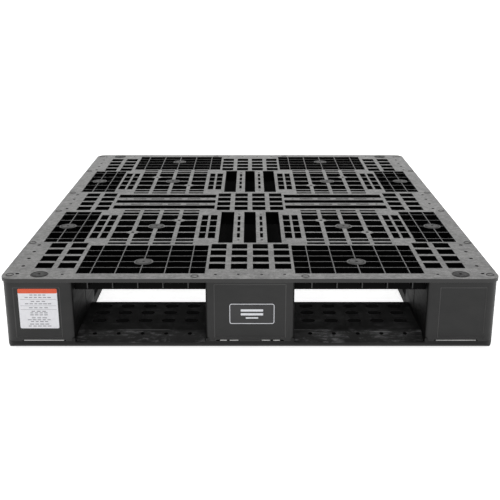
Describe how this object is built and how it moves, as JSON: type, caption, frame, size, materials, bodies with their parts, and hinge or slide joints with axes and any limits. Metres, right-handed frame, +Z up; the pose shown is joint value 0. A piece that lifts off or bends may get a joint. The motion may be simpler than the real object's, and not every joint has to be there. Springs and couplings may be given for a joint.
{
  "type": "plastic pallet",
  "caption": "Four-way black plastic pallet: ribbed open deck on hollow blocks, with a ramped perimeter base frame and four windows.",
  "frame": {"origin": "centre of the footprint, on the floor", "axes": "+X to the right across the front, +Y to the rear along the long side, +Z up"},
  "size_m": [1.016, 1.219, 0.1524],
  "materials": {
    "deck_plastic": "black recycled plastic, satin, scuffed",
    "block_plastic": "black recycled plastic, satin",
    "base_plastic": "black recycled plastic, satin",
    "plug_rubber": "dark grey rubber",
    "label_vinyl": "white vinyl with an orange band",
    "nameplate_vinyl": "dark and silver vinyl"
  },
  "bodies": {
    "root": {"top_deck": "deck_plastic", "base_frame": "base_plastic", "corner_block_front_left": "block_plastic", "corner_block_front_right": "block_plastic", "corner_block_rear_left": "block_plastic", "corner_block_rear_right": "block_plastic", "end_block_front": "block_plastic", "end_block_rear": "block_plastic", "side_block_left": "block_plastic", "side_block_right": "block_plastic", "centre_block": "block_plastic", "corner_plug_front_left": "plug_rubber", "corner_plug_front_right": "plug_rubber", "corner_plug_rear_left": "plug_rubber", "corner_plug_rear_right": "plug_rubber", "end_plug_front_left": "plug_rubber", "end_plug_front_right": "plug_rubber", "end_plug_rear_left": "plug_rubber", "end_plug_rear_right": "plug_rubber", "side_plug_front_left": "plug_rubber", "side_plug_front_right": "plug_rubber", "side_plug_rear_left": "plug_rubber", "side_plug_rear_right": "plug_rubber", "inner_plug_front_left": "plug_rubber", "inner_plug_front_right": "plug_rubber", "inner_plug_rear_left": "plug_rubber", "inner_plug_rear_right": "plug_rubber", "label": "label_vinyl", "nameplate": "nameplate_vinyl"}
  },
  "joints": []
}
